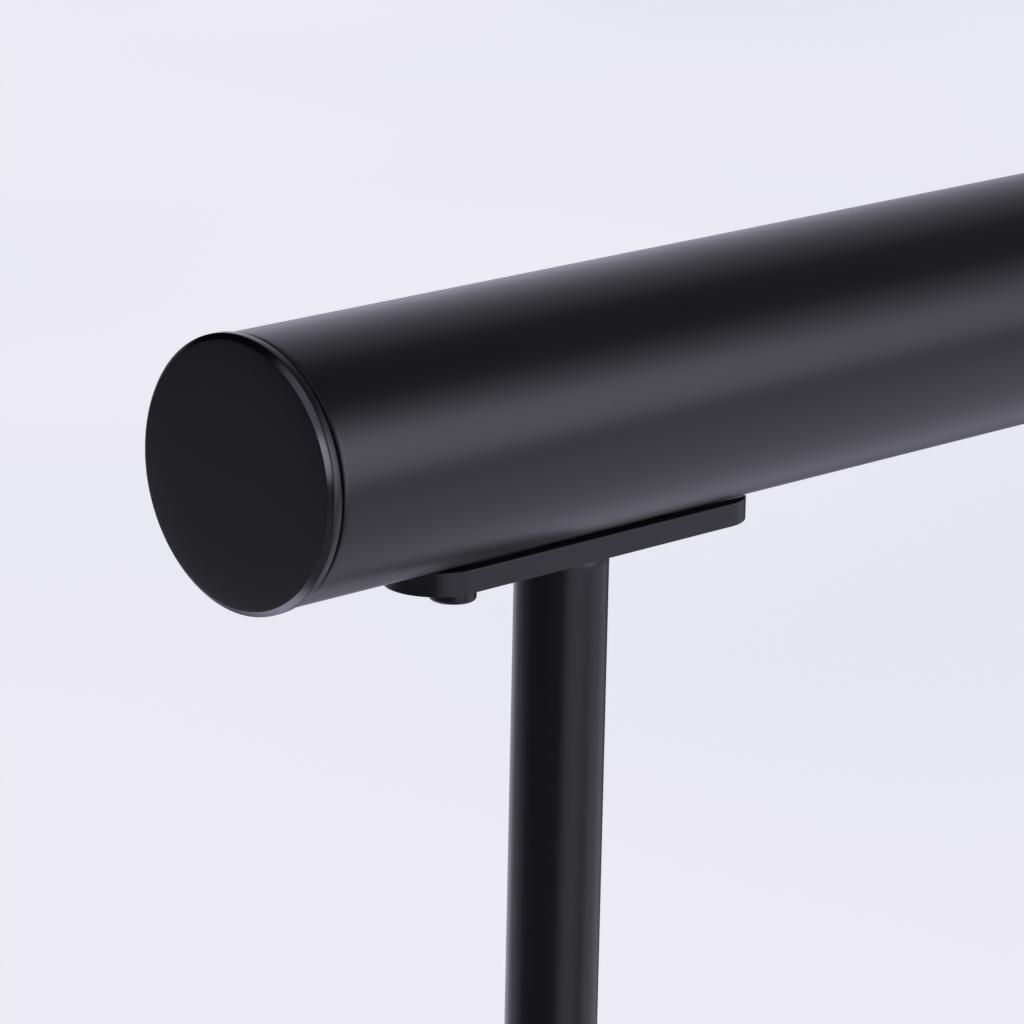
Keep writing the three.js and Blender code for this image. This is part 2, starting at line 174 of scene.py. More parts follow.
def rod(radius, bottom, top, sides=SMALL):
    """A plain cylinder about Z in mm, for cutting holes."""
    return spin([(0, bottom), (radius, bottom), (radius, top), (0, top)], sides, on_axis=True)


def block(size, centre):
    """A plain box in mm, for cutting slots."""
    bm = bmesh.new()
    bmesh.ops.create_cube(bm, size=1)
    scale = Matrix.Diagonal((*(Vector(size) * MM), 1))
    return place(bm, Matrix.Translation(Vector(centre) * MM) @ scale)


def cut(bm, *tools):
    """Subtracts each tool's bmesh from bm with an exact boolean, and returns the result."""
    mesh = bpy.data.meshes.new("body")
    bm.to_mesh(mesh)
    bm.free()
    body = bpy.data.objects.new("body", mesh)
    bpy.context.scene.collection.objects.link(body)
    cutters = []
    for tool in tools:
        tool_mesh = bpy.data.meshes.new("tool")
        bmesh.ops.recalc_face_normals(tool, faces=tool.faces)
        tool.to_mesh(tool_mesh)
        tool.free()
        cutter = bpy.data.objects.new("tool", tool_mesh)
        bpy.context.scene.collection.objects.link(cutter)
        boolean = body.modifiers.new("cut", "BOOLEAN")
        boolean.object = cutter
        boolean.solver = "EXACT"
        cutters.append(cutter)
    graph = bpy.context.evaluated_depsgraph_get()
    result = bmesh.new()
    result.from_object(body, graph)
    for used in (body, *cutters):
        used_mesh = used.data
        bpy.data.objects.remove(used)
        bpy.data.meshes.remove(used_mesh)
    return result


ALONG_X = Matrix.Rotation(math.pi / 2, 4, "Y")


def at(x=0.0, z=0.0):
    """A move by millimetres along X and Z."""
    return Matrix.Translation((x * MM, 0, z * MM))


# ------------------------------------------------------------------ material helpers


class Shader:
    """A short way to build a Principled material from noise, in object space and millimetres."""

    def __init__(self, name, colour, roughness, metallic=0.0, specular=0.5):
        self.material = bpy.data.materials.new(name)
        self.material.use_nodes = True
        self.tree = self.material.node_tree
        self.principled = self.tree.nodes["Principled BSDF"]
        self.principled.inputs["Metallic"].default_value = metallic
        self.principled.inputs["Specular IOR Level"].default_value = specular
        self.principled.inputs["Base Color"].default_value = (*colour, 1)
        self.principled.inputs["Roughness"].default_value = roughness
        self.coordinates = self.tree.nodes.new("ShaderNodeTexCoord").outputs["Object"]
        self.normal = None

    def node(self, kind, **settings):
        made = self.tree.nodes.new(kind)
        for key, value in settings.items():
            setattr(made, key, value)
        return made

    def link(self, source, target):
        self.tree.links.new(source, target)

    def stretched(self, scale):
        """Object coordinates scaled by a different amount along each axis."""
        mapping = self.node("ShaderNodeMapping")
        mapping.inputs["Scale"].default_value = scale
        self.link(self.coordinates, mapping.inputs["Vector"])
        return mapping.outputs["Vector"]

    def noise(self, size_mm, detail=2.0, vector=None):
        """Smooth noise whose features are about size_mm across, from 0 to 1."""
        made = self.node("ShaderNodeTexNoise")
        made.inputs["Scale"].default_value = 1 / (size_mm * MM)
        made.inputs["Detail"].default_value = detail
        self.link(vector or self.coordinates, made.inputs["Vector"])
        return made.outputs["Fac"]

    def specks(self, spacing_mm, radius_mm, share):
        """A mask of small round specks: one in some of the cells of a Voronoi pattern."""
        cells = self.node("ShaderNodeTexVoronoi")
        cells.inputs["Scale"].default_value = 1 / (spacing_mm * MM)
        self.link(self.coordinates, cells.inputs["Vector"])
        edge = radius_mm / spacing_mm
        near = self.remap(cells.outputs["Distance"], edge, 0.3 * edge, 0, 1)
        lucky = self.node("ShaderNodeSeparateColor")
        self.link(cells.outputs["Color"], lucky.inputs["Color"])
        chosen = self.remap(lucky.outputs["Red"], share, share * 0.98, 0, 1)
        return self.math("MULTIPLY", near, chosen)

    def remap(self, value, low, high, to_low, to_high):
        made = self.node("ShaderNodeMapRange")
        made.inputs["From Min"].default_value = low
        made.inputs["From Max"].default_value = high
        made.inputs["To Min"].default_value = to_low
        made.inputs["To Max"].default_value = to_high
        self.link(value, made.inputs["Value"])
        return made.outputs["Result"]

    def math(self, operation, a, b):
        made = self.node("ShaderNodeMath", operation=operation)
        for socket, value in zip(made.inputs, (a, b)):
            if isinstance(value, (int, float)):
                socket.default_value = value
            else:
                self.link(value, socket)
        return made.outputs["Value"]

    def edges(self, low=0.51, high=0.56):
        """A mask of convex edges, where a finish wears first."""
        geometry = self.node("ShaderNodeNewGeometry")
        return self.remap(geometry.outputs["Pointiness"], low, high, 0, 1)

    def height_share(self, bottom, top):
        """1 at the height bottom, falling to 0 at top, in metres."""
        split = self.node("ShaderNodeSeparateXYZ")
        self.link(self.coordinates, split.inputs["Vector"])
        return self.remap(split.outputs["Z"], bottom, top, 1, 0)

    def tint(self, factor, colour):
        """Mixes colour over the base colour by factor."""
        mix = self.node("ShaderNodeMix", data_type="RGBA")
        base = self.principled.inputs["Base Color"]
        if base.is_linked:
            self.link(base.links[0].from_socket, mix.inputs["A"])
        else:
            mix.inputs["A"].default_value = base.default_value
        mix.inputs["B"].default_value = (*colour, 1)
        self.link(factor, mix.inputs["Factor"])
        self.link(mix.outputs["Result"], base)

    def vary_roughness(self, value, low, high):
        """Adds to the roughness as value goes from 0 to 1."""
        rough = self.principled.inputs["Roughness"]
        added = self.remap(value, 0, 1, low, high)
        start = rough.links[0].from_socket if rough.is_linked else rough.default_value
        self.link(self.math("ADD", start, added), rough)

    def bump(self, value, depth_mm):
        """Raises the surface by up to depth_mm as value goes from 0 to 1, on top of earlier bumps."""
        made = self.node("ShaderNodeBump")
        made.inputs["Distance"].default_value = depth_mm * MM
        made.inputs["Strength"].default_value = 1
        self.link(value, made.inputs["Height"])
        if self.normal:
            self.link(self.normal, made.inputs["Normal"])
        self.normal = made.outputs["Normal"]
        self.link(self.normal, self.principled.inputs["Normal"])


def satin_black(name, colour=(0.0105, 0.0105, 0.0115), roughness=0.33):
    """A thin, very even black coat on metal: fine orange peel, faint hand marks and a few dust specks."""
    coat = Shader(name, colour, roughness)
    coat.tint(coat.remap(coat.noise(9, 3), 0.35, 0.7, 0, 0.35), tuple(1.25 * c for c in colour))
    coat.tint(coat.specks(16, 0.11, 0.2), (0.11, 0.11, 0.12))
    coat.tint(coat.edges(), (0.03, 0.03, 0.033))
    coat.vary_roughness(coat.noise(14, 3), -0.02, 0.03)
    coat.vary_roughness(coat.noise(0.5, 2), -0.015, 0.015)
    coat.bump(coat.noise(0.35, 2), 0.0012)
    coat.bump(coat.noise(2.2, 1), 0.002)
    return coat.material


def moulded_plastic(name):
    """Black nylon with a fine spark-eroded grain, polished where the hand turns it."""
    plastic = Shader(name, (0.013, 0.013, 0.014), 0.46)
    plastic.tint(plastic.noise(6, 3), (0.018, 0.018, 0.019))
    plastic.tint(plastic.edges(0.52, 0.6), (0.035, 0.035, 0.036))
    plastic.vary_roughness(plastic.noise(7, 3), -0.05, 0.05)
    plastic.vary_roughness(plastic.edges(0.52, 0.6), 0, -0.12)
    plastic.bump(plastic.noise(0.3, 3), 0.012)
    return plastic.material


def rubber(name, dusty_below=None):
    """Matte moulded rubber. dusty_below is the height under which the ground has greyed it, in metres."""
    soft = Shader(name, (0.016, 0.016, 0.016), 0.72, specular=0.4)
    soft.tint(soft.noise(3, 4), (0.023, 0.022, 0.021))
    soft.vary_roughness(soft.noise(5, 3), -0.08, 0.08)
    soft.bump(soft.noise(0.25, 3), 0.015)
    soft.bump(soft.noise(1.6, 2), 0.02)
    if dusty_below:
        dust = soft.math("MULTIPLY", soft.height_share(0, dusty_below), soft.noise(1.2, 4))
        soft.tint(soft.remap(dust, 0.1, 0.7, 0, 0.5), (0.16, 0.15, 0.14))
    return soft.material


def natural_nylon():
    nylon = Shader("natural_nylon", (0.56, 0.55, 0.51), 0.5)
    nylon.principled.inputs["Subsurface Weight"].default_value = 0.15
    nylon.principled.inputs["Subsurface Radius"].default_value = (0.002, 0.002, 0.0015)
    nylon.tint(nylon.noise(4, 3), (0.5, 0.48, 0.43))
    nylon.vary_roughness(nylon.noise(2, 3), -0.06, 0.06)
    nylon.bump(nylon.noise(0.4, 2), 0.006)
    return nylon.material


def plated_steel():
    """Bright zinc over turned steel, with fine tool lines round the axis."""
    steel = Shader("plated_steel", (0.52, 0.53, 0.55), 0.3, metallic=1.0)
    steel.tint(steel.noise(2.5, 4), (0.44, 0.44, 0.47))
    steel.vary_roughness(steel.noise(1.5, 3), -0.06, 0.1)
    steel.bump(steel.noise(0.12, 1, steel.stretched((0.05, 0.05, 1))), 0.003)
    return steel.material


def cut_edge():
    """The chamfer of a cap, turned after coating: dark bare metal that shows lights the coat hides."""
    edge = Shader("cap_chamfer", (0.2, 0.2, 0.21), 0.17, metallic=1.0)
    edge.principled.inputs["Specular Tint"].default_value = (0.25, 0.25, 0.25, 1)
    edge.tint(edge.noise(1.5, 3), (0.17, 0.17, 0.18))
    edge.vary_roughness(edge.noise(0.8, 3), -0.03, 0.05)
    edge.bump(edge.noise(0.15, 2), 0.001)
    return edge.material


BLACK_GRIP = satin_black("black_grip")
BLACK_PLATE = satin_black("black_plate", (0.0128, 0.0128, 0.014), 0.32)
BLACK_SHAFT = satin_black("black_shaft", roughness=0.3)
BLACK_CAP_RIM = satin_black("black_cap_rim", roughness=0.28)
BLACK_CAP_FACE = satin_black("black_cap_face", (0.009, 0.009, 0.0098), 0.42)
CAP_CHAMFER = cut_edge()
BLACK_SCREW = satin_black("black_screw", (0.009, 0.009, 0.01), 0.3)
PLASTIC = moulded_plastic("black_plastic")
SEAL = rubber("seal_rubber")
TIP_RUBBER = rubber("tip_rubber", dusty_below=0.02)
NYLON = natural_nylon()
STEEL = plated_steel()


# ------------------------------------------------------------------ handle

# Lengths are in mm in this part and the next. Depths of a cap are measured from its face.
TUBE_WALL = 2.0
END_RING = 1.0  # from a tube's end to a ring of edges that keeps the worn look of the end from spreading
CAP_R = 17.0
CAP_FACE_R = 16.3  # where the face ends and its chamfer starts
CAP_CROWN = 0.16  # how far the face falls away from its middle to that edge
CAP_CHAMFER_DEPTH = 0.75
CAP_RIM = 1.8  # depth of the rim's back
CAP_SHOULDER = 2.4  # depth of the step that meets the tube's end
CAP_NECK_R = 15.9  # between the rim and that step
CAP_PLUG_R = 14.45
CAP_PLUG_BORE = 11.5
CAP_PLUG_END = 14.0
CAP_FACE_THICK = 4.0
SEAL_GROOVE_R = 13.1
SEAL_GROOVE = (6.0, 8.0)  # depths of its two sides
PLATE_TOP = -16.3  # from the grip's axis
PLATE_THICK = 3.0
PLATE_SEAT_GAP = 0.3
PIN_HOLE_FLOOR = 1.05  # what the blind hole for the pin leaves of the plate
SCREW_X = -18.9
PIN_X = 18.9
SCREW_R = 1.5
STUD_R = 3.0
HOLE_GAP = 0.2
PIN_HOLE_R = 2.1
SCREW_HEAD = 2.9  # its height


def handle_place(x=0.0):
    """Shapes about the grip's axis, moved into the frame."""
    return at(x, AXIS_Z / MM)


def fixing_holes(bottom, pin_bottom):
    """Cutters for the stud's, the screw's and the pin's holes, up to the grip's axis."""
    return [
        rod(STUD_R + HOLE_GAP, bottom, 0),
        place(rod(SCREW_R + HOLE_GAP, bottom, 0), at(SCREW_X)),
        place(rod(PIN_HOLE_R, pin_bottom, 0), at(PIN_X)),
    ]


def grip():
    """The grip tube, with rolled edges at its ends and three holes that the saddle plate hides."""
    outer = GRIP_R / MM
    inner = outer - TUBE_WALL
    front, rear = grip_low.x / MM, grip_high.x / MM
    # Rings on both sides of each hole keep its faces from stretching along the whole tube.
    stations = [front + END_RING]
    for hole, gap in ((SCREW_X, 4), (0, 5), (PIN_X, 4)):
        stations += [hole - gap, hole + gap]
    stations.append(rear - END_RING)
    outside = [(outer, x) for x in stations]
    inside = [(inner, x) for x in reversed(stations)]
    profile = rounded(
        [
            (inner, front, 0.15),
            (outer, front, 0.3),
            *outside,
            (outer, rear, 0.3),
            (inner, rear, 0.15),
            *inside,
        ]
    )
    tube = place(spin(profile, FINE), ALONG_X)
    below = -outer - 2
    tube = place(cut(tube, *fixing_holes(below, below)), handle_place())
    new_piece("grip", tube, BLACK_GRIP, "handle", "grip_tube")


def cap_profile():
    """The turned shape of a cap: crowned face, chamfer, rim, and the plug inside the tube."""
    shares = (0, 0.3, 0.5, 0.65, 0.75, 0.83, 0.9, 0.96)
    face = [(CAP_FACE_R * share, CAP_CROWN * share**6) for share in shares]
    return rounded(
        [
            *face,
            (CAP_FACE_R, CAP_CROWN, 0.1),
            (CAP_R, CAP_CHAMFER_DEPTH, 0.3),
            (CAP_R, CAP_RIM, 0.12),
            (CAP_NECK_R, CAP_RIM),
            (CAP_NECK_R, CAP_SHOULDER),
            (CAP_PLUG_R, CAP_SHOULDER),
            (CAP_PLUG_R, SEAL_GROOVE[0], 0.1),
            (SEAL_GROOVE_R, SEAL_GROOVE[0], 0.15),
            (SEAL_GROOVE_R, SEAL_GROOVE[1], 0.15),
            (CAP_PLUG_R, SEAL_GROOVE[1], 0.1),
            (CAP_PLUG_R, CAP_PLUG_END, 0.8),
            (CAP_PLUG_BORE, CAP_PLUG_END, 0.3),
            (CAP_PLUG_BORE, CAP_FACE_THICK, 1.0),
            (0, CAP_FACE_THICK),
        ]
    )


def end_cap(side, node, turn):
    """A cap with a coated rim and face and a bare chamfer. turn lays its axis along the handle."""
    low, high = reach(node)
    face_x = low.x if turn > 0 else high.x
    outward = handle_place(face_x / MM) @ Matrix.Rotation(turn, 4, "Y")
    bm = place(spin(cap_profile(), FINE, on_axis=True), outward)
    cap = new_piece(f"{side}_end_cap", bm, BLACK_CAP_RIM, "handle", node)
    cap.data.materials.append(BLACK_CAP_FACE)
    cap.data.materials.append(CAP_CHAMFER)
    # The rim is slot 0, the face slot 1 and the chamfer slot 2.
    for polygon in cap.data.polygons:
        depth = abs(polygon.center.x - face_x) / MM
        if depth < 0.95 * CAP_CROWN:
            polygon.material_index = 1
        elif depth < CAP_CHAMFER_DEPTH:
            polygon.material_index = 2


def saddle():
    """The flat bar under the grip: round ends, broken edges, a seat for the tube and its three holes."""
    low, high = reach("saddle_plate")
    end = (high.y - low.y) / 2 / MM
    steps = 40  # faces round each end
    broken_edge = 0.35
    outline = []
    for side, centre in ((1, high.x / MM - end), (-1, low.x / MM + end)):
        for step in range(steps + 1):
            angle = -math.pi / 2 + math.pi * step / steps
            outline.append((centre + side * end * math.cos(angle), side * end * math.sin(angle)))
    bottom = PLATE_TOP - PLATE_THICK
    bm = bmesh.new()
    floor = [bm.verts.new((x * MM, y * MM, bottom * MM)) for x, y in outline]
    roof = [bm.verts.new((x * MM, y * MM, PLATE_TOP * MM)) for x, y in outline]
    bm.faces.new(list(reversed(floor)))
    bm.faces.new(roof)
    for i, corner in enumerate(floor):
        after = (i + 1) % len(floor)
        bm.faces.new((corner, floor[after], roof[after], roof[i]))
    rims = [edge for edge in bm.edges if edge.verts[0].co.z == edge.verts[1].co.z]
    bmesh.ops.bevel(bm, geom=rims, offset=broken_edge * MM, segments=3, profile=0.5, affect="EDGES")
    seat = place(rod(GRIP_R / MM + PLATE_SEAT_GAP, -40, 40, FINE), ALONG_X)
    holes = fixing_holes(bottom - 1, bottom + PIN_HOLE_FLOOR)
    bm = place(cut(bm, seat, *holes), handle_place())
    new_piece("saddle_bar", bm, BLACK_PLATE, "handle", "saddle_plate")


def threaded(radius, bottom, top, pitch, depth, head=()):
    """A threaded rod about Z. head is a stretch of profile that goes under it, from the axis out."""
    tip = 0.5  # the chamfer at its end
    rows = max(2, round((top - tip - bottom) / pitch * 8))
    shank = [(radius, bottom + (top - tip - bottom) * i / rows) for i in range(rows + 1)]
    profile = [*head, *shank, (radius - tip, top), (0, top)]
    if not head:
        profile = [(0, bottom), *profile]

    def thread(angle, r, z):
        if abs(r - radius) > 1e-6 or z <= bottom + 1e-6:
            return r
        turns = z / pitch - angle / (2 * math.pi)
        ridge = abs(2 * (turns - math.floor(turns)) - 1)
        return r - depth * ridge

    return spin(profile, SMALL, on_axis=True, radius_at=thread)


def saddle_screw():
    """The M3 screw, head down: a soft-edged round head, slightly crowned, with a cross recess."""
    face = -SCREW_HEAD
    head = rounded(
        [
            (0, face),
            (1.2, face + 0.04),
            (2, face + 0.12),
            (3, face + 0.25, 0.45),
            (3, -0.05, 0.15),
            (SCREW_R, -0.05),
        ],
        steps=5,
    )
    bm = threaded(SCREW_R, bottom=0.2, top=10.6, pitch=0.5, depth=0.3, head=head)
    length, width, height = 3, 0.7, 2.4  # of the cutters for the cross recess, half in the head
    slots = [
        block((length, width, height), (0, 0, face)),
        block((width, length, height), (0, 0, face)),
    ]
    drop = PLATE_TOP - PLATE_THICK
    bm = place(cut(bm, *slots), handle_place(SCREW_X) @ at(z=drop))
    new_piece("round_head_screw", bm, BLACK_SCREW, "handle", "saddle_screw")


def stud():
    low, high = reach("shaft_stud")
    bm = threaded(STUD_R, low.z / MM, high.z / MM, pitch=1.0, depth=0.6)
    new_piece("threaded_stud", bm, STEEL, "handle", "shaft_stud")


grip()
end_cap("front", "front_cap", math.pi / 2)
end_cap("rear", "rear_cap", -math.pi / 2)
saddle()
saddle_screw()
stud()


# ------------------------------------------------------------------ shaft and leg

SLIM_WALL = 1.5  # of the shaft and of the lower tube
RIVET_HOLE_R = 1.1
KEYWAY = (2.4, 2.2)  # width and depth of the groove that stops the leg turning
KEYWAY_Y = 6.1


def tube_profile(node):
    """The profile of a slim tube with rolled outer edges, the size of a CAD node."""
    low, high = reach(node)
    outer = (high.x - low.x) / 2 / MM
    inner = outer - SLIM_WALL
    bottom, top = low.z / MM, high.z / MM
    return rounded(
        [
            (inner, bottom),
            (outer, bottom, 0.25),
            (outer, bottom + END_RING),
            (outer, top - END_RING),
            (outer, top, 0.25),
            (inner, top),
        ]
    )


def upper_shaft():
    hole = place(rod(RIVET_HOLE_R, -9, 9), at(z=middle("bush_rivet").z / MM) @ ALONG_X)
    bm = cut(spin(tube_profile("upper_shaft"), ROUND), hole)
    new_piece("shaft", bm, BLACK_SHAFT, "handle", "upper_shaft")


def lower_tube():
    top = reach("lower_tube")[1].z / MM
    keyway = block((*KEYWAY, 2 * top), (0, KEYWAY_Y, top / 2))
    bm = cut(spin(tube_profile("lower_tube"), ROUND), keyway)
    new_piece("leg_tube", bm, BLACK_SHAFT, "lower_leg", "lower_tube")


def collet_sleeve():
    """The moulded sleeve: a flared skirt with two fine grooves, and the threaded neck under the collar."""
    low, high = reach("collet_sleeve")
    bottom, neck_top = low.z / MM, high.z / MM
    shoulder = neck_top - 13
    neck = 9.2
    skirt = 11.6
    tube_bore = 8.05
    shaft_bore = 6.5
    ledge = shoulder - 1.95  # the lower tube's end meets it
    pitch = 3
    thread_depth = 0.6
    rows = 60
    neck_length = neck_top - shoulder - 1
    neck_rows = [(neck, shoulder + 0.4 + neck_length * i / rows) for i in range(rows + 1)]
    grooves = []
    for z in (bottom + 18.3, bottom + 20.3):
        grooves += [(skirt, z - 0.3, 0.1), (skirt - 0.35, z), (skirt, z + 0.3, 0.1)]
    profile = rounded(
        [
            (tube_bore, bottom, 0.2),
            (9.4, bottom, 0.5),
            (skirt, bottom + 6.5, 3),
            *grooves,
            (skirt, shoulder, 0.7),
            (neck, shoulder, 0.1),
            *neck_rows,
            (neck - 0.5, neck_top),
            (8.3, neck_top),
            (7.4, shoulder + 1),
            (shaft_bore, shoulder),
            (shaft_bore, ledge),
            (tube_bore, ledge),
        ]
    )

    def thread(angle, r, z):
        if abs(r - neck) > 1e-6 or z < shoulder + 1:
            return r
        turns = z / pitch - angle / (2 * math.pi)
        wave = 0.5 + 0.5 * math.cos(2 * math.pi * turns)
        return r - thread_depth * wave

    bm = spin(profile, ROUND, radius_at=thread)
    new_piece("sleeve", bm, PLASTIC, "lower_leg", "collet_sleeve")


def lock_collar():
    """The turned-down collar: soft flutes that fade out at both ends, and a coned top."""
    low, high = reach("lock_collar")
    bottom, top = low.z / MM, high.z / MM
    outer = 12.6
    neck_bore = 9.3
    shaft_bore = 6.3
    ring_groove = 7.6
    flutes = 16
    flute_depth = 0.72
    fade_length = 2.2
    flute_low, flute_high = bottom + 2, top - 6
    rows = 20
    side = [(outer, flute_low + (flute_high - flute_low) * i / rows) for i in range(rows + 1)]
    profile = rounded(
        [
            (neck_bore, bottom, 0.3),
            (outer, bottom, 0.7),
            *side,
            (outer, top - 5, 2),
            (8.9, top, 0.9),
            (shaft_bore, top, 0.4),
            (shaft_bore, top - 3, 0.1),
            (ring_groove, top - 3),
            (ring_groove, top - 5),
            (shaft_bore, top - 5, 0.1),
            (shaft_bore, top - 7.4),
            (neck_bore, top - 10.8),
        ]
    )

    def flute(angle, r, z):
        if abs(r - outer) > 1e-6 or not flute_low < z < flute_high:
            return r
        across = (0.5 + 0.5 * math.cos(flutes * angle)) ** 2.2
        fade = min(1.0, (z - flute_low) / fade_length, (flute_high - z) / fade_length)
        return r - flute_depth * across * math.sin(0.5 * math.pi * fade)

    bm = spin(profile, 2 * ROUND, radius_at=flute)
    new_piece("twist_collar", bm, PLASTIC, "collar", "lock_collar")


def rubber_tip():
    """The moulded tip: ringed tread, flared foot, waist, and a ribbed band round its top."""
    low, high = reach("ferrule")
    top = high.z / MM
    base = (high.x - low.x) / 2 / MM
    neck = 11.2
    band = neck + 0.9
    tube_bore = 8.1
    floor_thick = 9
    flare_r = 9
    flare_z = 17.5  # where the flare meets the neck
    flare = []
    for degrees in range(228, 179, -4):
        angle = math.radians(degrees)
        flare.append((neck + flare_r * (1 + math.cos(angle)), flare_z + flare_r * math.sin(angle)))
    grooves = []
    for inner, outer in ((5, 6.4), (8.6, 10), (12.2, 13.6)):
        grooves += [(inner, 0, 0.2), (inner + 0.2, 1.2, 0.2), (outer - 0.2, 1.2, 0.2), (outer, 0, 0.2)]
    ribs = []
    for i in range(3):
        z = top - 5 + 1.4 * i
        ribs += [(band, z, 0.1), (band - 0.35, z + 0.25, 0.1), (band, z + 0.5, 0.1)]
    profile = rounded(
        [
            (0, 0),
            *grooves,
            (base, 0, 1.2),
            (base, 6.6, 0.8),
            *flare,
            (neck, top - 7, 0.6),
            (band, top - 5.8, 0.3),
            *ribs,
            (band, top, 0.8),
            (tube_bore, top, 0.3),
            (tube_bore, floor_thick),
            (0, floor_thick),
        ]
    )
    bm = spin(profile, ROUND, on_axis=True)
    new_piece("rubber_tip", bm, TIP_RUBBER, "lower_leg", "ferrule")


upper_shaft()
lower_tube()
collet_sleeve()
lock_collar()
rubber_tip()


# ------------------------------------------------------------------ finishes of the CAD nodes that stay

KEPT = {
    "front_cap_seal": SEAL,
    "rear_cap_seal": SEAL,
    "collar_o_ring": SEAL,
    "nut_bar": STEEL,
    "locating_pin": STEEL,
    "shaft_top_plug": STEEL,
    "bush_rivet": STEEL,
    "ferrule_disc": STEEL,
    "guide_bush": NYLON,
    "collet": NYLON,
    "tube_end_plug": NYLON,
}
for node, material in KEPT.items():
    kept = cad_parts[node]
    kept.data.materials.clear()
    kept.data.materials.append(material)


# ------------------------------------------------------------------ camera

# The camera stands off the point where the shaft's line meets the grip's axis. Its place is in grip radii.
CAMERA_OFFSET = Vector((-25.887, -25.845, 9.451))
CAMERA_YAW = math.radians(44.45)
CAMERA_DIP = math.radians(15.75)
CAMERA_ROLL = math.radians(1.17)
CAMERA_LENS = 177.8


def add_camera():
    data = bpy.data.cameras.new("camera")
    data.lens = CAMERA_LENS
    data.clip_start = 0.05
    data.clip_end = 60
    camera = bpy.data.objects.new("camera", data)
    bpy.context.scene.collection.objects.link(camera)
    flat = Vector((math.sin(CAMERA_YAW), math.cos(CAMERA_YAW), 0))
    across = Vector((math.cos(CAMERA_YAW), -math.sin(CAMERA_YAW), 0))
    upright = Vector((0, 0, 1))
    ahead = flat * math.cos(CAMERA_DIP) - upright * math.sin(CAMERA_DIP)
    above = upright * math.cos(CAMERA_DIP) + flat * math.sin(CAMERA_DIP)
    right = across * math.cos(CAMERA_ROLL) + above * math.sin(CAMERA_ROLL)
    top = above * math.cos(CAMERA_ROLL) - across * math.sin(CAMERA_ROLL)
    turn = Matrix((right, top, -ahead)).transposed().to_4x4()
    place_of_camera = Vector((0, 0, AXIS_Z)) + CAMERA_OFFSET * GRIP_R
    camera.matrix_world = Matrix.Translation(place_of_camera) @ turn
    bpy.context.scene.camera = camera


add_camera()


# ------------------------------------------------------------------ floor and light

BACKDROP = (0.85, 0.835, 0.92)
FLOOR_TINT = (0.825, 0.816, 0.85)
FLOOR_TINT_COOL = (0.77, 0.785, 0.84)
FLOOR_GLOW = 0.6
FLOOR_HALF = 30  # half the side of the floor, in metres
FLOOR_DROP = 0.0002  # how far the floor lies under the tip, in metres
CLOUDS_PER_METRE = 0.9  # of the floor's two tints
LIGHT_TINT = (0.96, 0.93, 1.12)


def floor_material():
    """Mostly an even glow in two pale tints, with some shaded white so that the tip has a soft shadow."""
    material = bpy.data.materials.new("floor")
    material.use_nodes = True
    tree = material.node_tree
    tree.nodes.clear()
    coordinates = tree.nodes.new("ShaderNodeTexCoord")
    clouds = tree.nodes.new("ShaderNodeTexNoise")
    clouds.inputs["Scale"].default_value = CLOUDS_PER_METRE
    clouds.inputs["Detail"].default_value = 1
    tree.links.new(coordinates.outputs["Object"], clouds.inputs["Vector"])
    spread = tree.nodes.new("ShaderNodeMapRange")
    spread.inputs["From Min"].default_value = 0.35
    spread.inputs["From Max"].default_value = 0.65
    tree.links.new(clouds.outputs["Fac"], spread.inputs["Value"])
    tint = tree.nodes.new("ShaderNodeMix")
    tint.data_type = "RGBA"
    tint.inputs["A"].default_value = (*FLOOR_TINT, 1)
    tint.inputs["B"].default_value = (*FLOOR_TINT_COOL, 1)
    tree.links.new(spread.outputs["Result"], tint.inputs["Factor"])
    glow = tree.nodes.new("ShaderNodeEmission")
    glow.inputs["Strength"].default_value = FLOOR_GLOW
    white = tree.nodes.new("ShaderNodeBsdfDiffuse")
    both = tree.nodes.new("ShaderNodeAddShader")
    out = tree.nodes.new("ShaderNodeOutputMaterial")
    tree.links.new(tint.outputs["Result"], glow.inputs["Color"])
    tree.links.new(tint.outputs["Result"], white.inputs["Color"])
    tree.links.new(glow.outputs["Emission"], both.inputs[0])
    tree.links.new(white.outputs["BSDF"], both.inputs[1])
    tree.links.new(both.outputs["Shader"], out.inputs["Surface"])
    return material


def add_floor():
    """A plain pale floor that the object neither mirrors nor is lit by."""
    bm = bmesh.new()
    bmesh.ops.create_grid(bm, x_segments=1, y_segments=1, size=FLOOR_HALF)
    mesh = bpy.data.meshes.new("floor")
    bm.to_mesh(mesh)
    bm.free()
    floor = bpy.data.objects.new("floor", mesh)
    bpy.context.scene.collection.objects.link(floor)
    floor.location.z = cad_box[0].z - FLOOR_DROP
    for ray in ("diffuse", "glossy", "transmission", "shadow"):
        setattr(floor, f"visible_{ray}", False)
    mesh.materials.append(floor_material())


# Soft sources of light round the object: azimuth from the front towards +X and elevation, the half angles
# of the even part and of the whole source, all in degrees, and the brightness.
SOFT_LIGHTS = [
    (27, 11, 9, 29, 2.2),  # the wide softbox in front
    (50, 16, 4, 27, 0.6),  # its right side
    (-8, -9, 11, 34, 0.85),  # the pale table in front
    (44, -19, 3, 14, 0.32),  # the right end of that table
    (73, -47, 28, 44, 0.73),  # the floor on the right
    (151, -10, 17, 35, 0.8),  # the foot of the backdrop
    (140, 18, 6, 23, 0.53),  # the backdrop, right and behind
    (131, 38, 5, 26, 0.4),  # the dimmer backdrop above that
    (95, 23, 5, 28, 0.14),  # the backdrop beside the softbox
    (-173, -54, 15, 47, 1.24),  # the floor behind
    (-86, -50, 23, 62, 0.1),  # the floor on the left
    (-61, 9, 7, 15, 0.85),  # a small lamp by the camera, which the caps' chamfers show
    (-70, 35, 12, 40, 0.3),  # a weak fill from the upper left
]
DOME = 0.01  # brightness of the studio between them


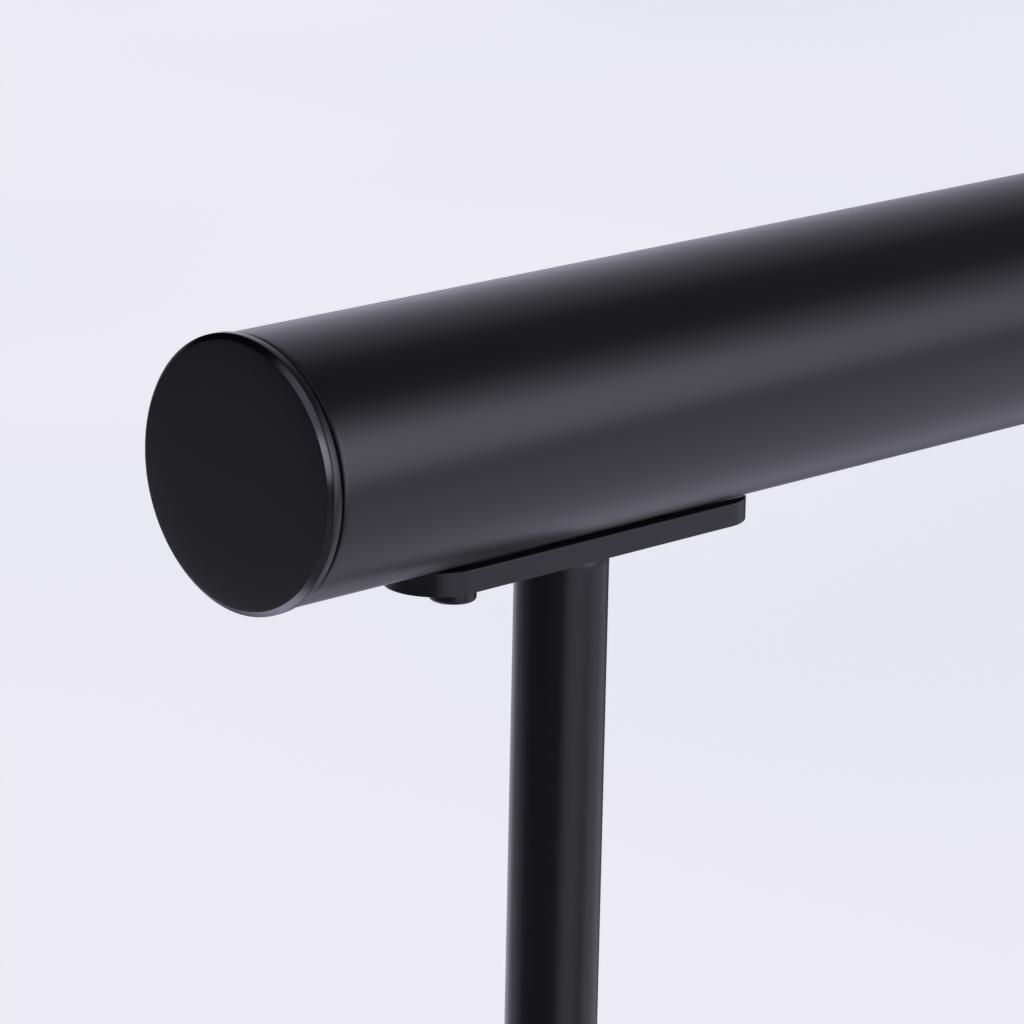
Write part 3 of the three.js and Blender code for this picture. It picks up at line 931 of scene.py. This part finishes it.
def soft_light(tree, direction, azimuth, elevation, even, whole, brightness):
    """One round source, as a brightness that fades smoothly from its even part to its edge."""
    around, up = math.radians(azimuth), math.radians(elevation)
    facing = tree.nodes.new("ShaderNodeVectorMath")
    facing.operation = "DOT_PRODUCT"
    facing.inputs[1].default_value = (
        math.cos(up) * math.sin(around),
        -math.cos(up) * math.cos(around),
        math.sin(up),
    )
    tree.links.new(direction, facing.inputs[0])
    patch = tree.nodes.new("ShaderNodeMapRange")
    patch.interpolation_type = "SMOOTHSTEP"
    patch.inputs["From Min"].default_value = math.cos(math.radians(whole))
    patch.inputs["From Max"].default_value = math.cos(math.radians(even))
    patch.inputs["To Max"].default_value = brightness
    tree.links.new(facing.outputs["Value"], patch.inputs["Value"])
    return patch.outputs["Result"]


def all_light(tree):
    """The brightness of the dome and every soft source, by direction."""
    direction = tree.nodes.new("ShaderNodeTexCoord").outputs["Generated"]
    total = None
    for light in SOFT_LIGHTS:
        add = tree.nodes.new("ShaderNodeMath")
        add.operation = "ADD"
        add.inputs[0].default_value = DOME
        if total:
            tree.links.new(total, add.inputs[0])
        tree.links.new(soft_light(tree, direction, *light), add.inputs[1])
        total = add.outputs["Value"]
    return total


def add_world():
    """The studio round the object. The camera sees an even backdrop; the object sees soft lights."""
    world = bpy.data.worlds.new("studio")
    world.use_nodes = True
    bpy.context.scene.world = world
    tree = world.node_tree
    tree.nodes.clear()
    studio = tree.nodes.new("ShaderNodeBackground")
    studio.inputs["Color"].default_value = (*LIGHT_TINT, 1)
    tree.links.new(all_light(tree), studio.inputs["Strength"])
    backdrop = tree.nodes.new("ShaderNodeBackground")
    backdrop.inputs["Color"].default_value = (*BACKDROP, 1)
    seen = tree.nodes.new("ShaderNodeLightPath")
    choose = tree.nodes.new("ShaderNodeMixShader")
    out = tree.nodes.new("ShaderNodeOutputWorld")
    tree.links.new(seen.outputs["Is Camera Ray"], choose.inputs["Fac"])
    tree.links.new(studio.outputs["Background"], choose.inputs[1])
    tree.links.new(backdrop.outputs["Background"], choose.inputs[2])
    tree.links.new(choose.outputs["Shader"], out.inputs["Surface"])


def add_key():
    """One wide soft light from above, which only the floor's shading and shadows need."""
    data = bpy.data.lights.new("key", "SUN")
    data.energy = 0.9
    data.angle = math.radians(50)
    data.color = (1, 0.98, 1)
    key = bpy.data.objects.new("key", data)
    bpy.context.scene.collection.objects.link(key)
    key.rotation_euler = (math.radians(-25), math.radians(-20), 0)
    key.visible_glossy = False


add_floor()
add_world()
add_key()
bpy.context.scene.view_settings.view_transform = "Standard"
